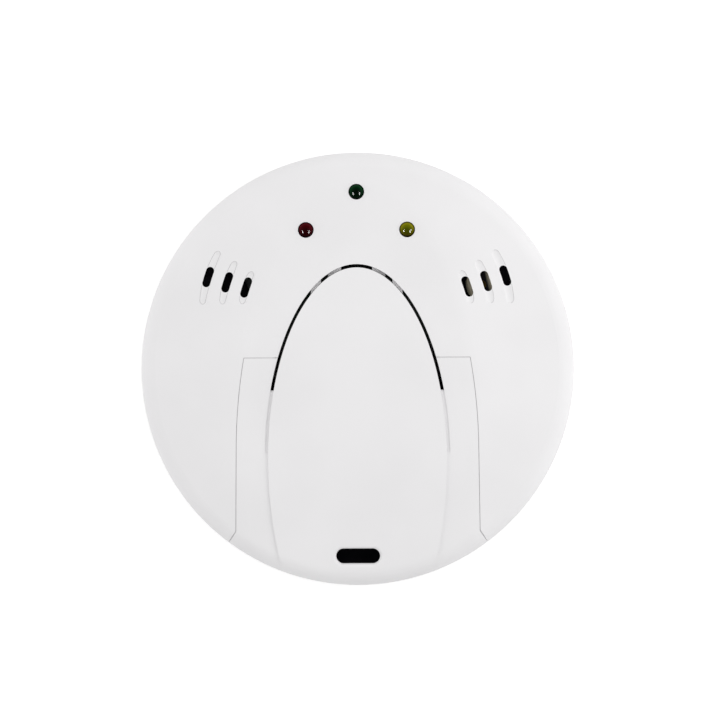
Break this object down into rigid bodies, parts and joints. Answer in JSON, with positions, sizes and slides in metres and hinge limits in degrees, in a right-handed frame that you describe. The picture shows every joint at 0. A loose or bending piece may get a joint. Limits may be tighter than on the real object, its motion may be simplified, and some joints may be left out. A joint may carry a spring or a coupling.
{
  "type": "carbon monoxide detector",
  "caption": "Round white battery carbon monoxide alarm with domed face, slotted vents, indicator lamps, a press tongue and a drop-down battery door on a twist-on wall plate.",
  "frame": {"origin": "centre of the wall plate's back face", "axes": "+Z out of the wall through the face, +Y up the wall towards the lamps, +X to the right of someone facing the alarm"},
  "size_m": [0.135, 0.135, 0.0386],
  "materials": {
    "case_shell": "fine moulded satin, bright white",
    "case_rear": "fine moulded satin, bright white",
    "lamp_green": "clear tinted resin, unlit",
    "lamp_red": "clear tinted resin, unlit",
    "lamp_amber": "clear tinted resin, unlit",
    "board": "solder mask over glass laminate",
    "steel": "zinc plated",
    "nickel": "nickel plated spring steel",
    "tinned": "tinned wire",
    "cell_sleeve": "plain printed sleeve",
    "black_plastic": "moulded black",
    "black_gloss": "moulded black, polished",
    "ivory_plastic": "moulded ivory",
    "brass": "bare disc",
    "can": "capacitor can",
    "ceramic": "small chip resistors"
  },
  "bodies": {
    "plate": {"mounting_plate": "case_rear"},
    "alarm": {"rear_case": "case_rear", "front_cover": "case_shell", "hinge_pin": "steel", "case_screws": "steel", "board_screws": "steel", "battery_tray": "black_gloss", "battery_1": "cell_sleeve", "battery_2": "cell_sleeve", "battery_3": "cell_sleeve", "positive_contact": "nickel", "negative_contact": "nickel", "link_contacts": "nickel", "circuit_board": "board", "led_power": "lamp_green", "led_alarm": "lamp_red", "led_fault": "lamp_amber", "led_legs": "tinned", "test_switch": "black_plastic", "sounder_housing": "black_plastic", "sounder_throat": "ivory_plastic", "piezo_disc": "brass", "co_sensor": "black_plastic", "sensor_filter": "ceramic", "alarm_chip": "black_plastic", "capacitor": "can", "sounder_coil": "brass", "resistors": "ceramic"},
    "door": {"battery_door": "case_shell"},
    "button": {"test_button": "case_shell"},
    "plunger": {"switch_plunger": "black_plastic"}
  },
  "joints": [
    {"name": "twist_off", "type": "hinge", "parent": "plate", "child": "alarm", "pos_m": [0, 0, 0], "axis": [0, 0, 1], "range_deg": [0, 15]},
    {"name": "door_swing", "type": "hinge", "parent": "alarm", "child": "door", "pos_m": [0, -0.0628, 0.0139], "axis": [1, 0, 0], "range_deg": [0, 100]},
    {"name": "test_press", "type": "hinge", "parent": "door", "child": "button", "pos_m": [0, -0.0066, 0.03545], "axis": [-1, 0, 0], "range_deg": [0, 1], "stiffness_Nm_per_rad": 4},
    {"name": "switch_travel", "type": "slide", "parent": "alarm", "child": "plunger", "axis": [0, 0, -1], "range_m": [0, 0.0006]}
  ],
  "couplings": [
    {"joint": "switch_travel", "follows": "test_press", "m_per_rad": 0.0267}
  ]
}
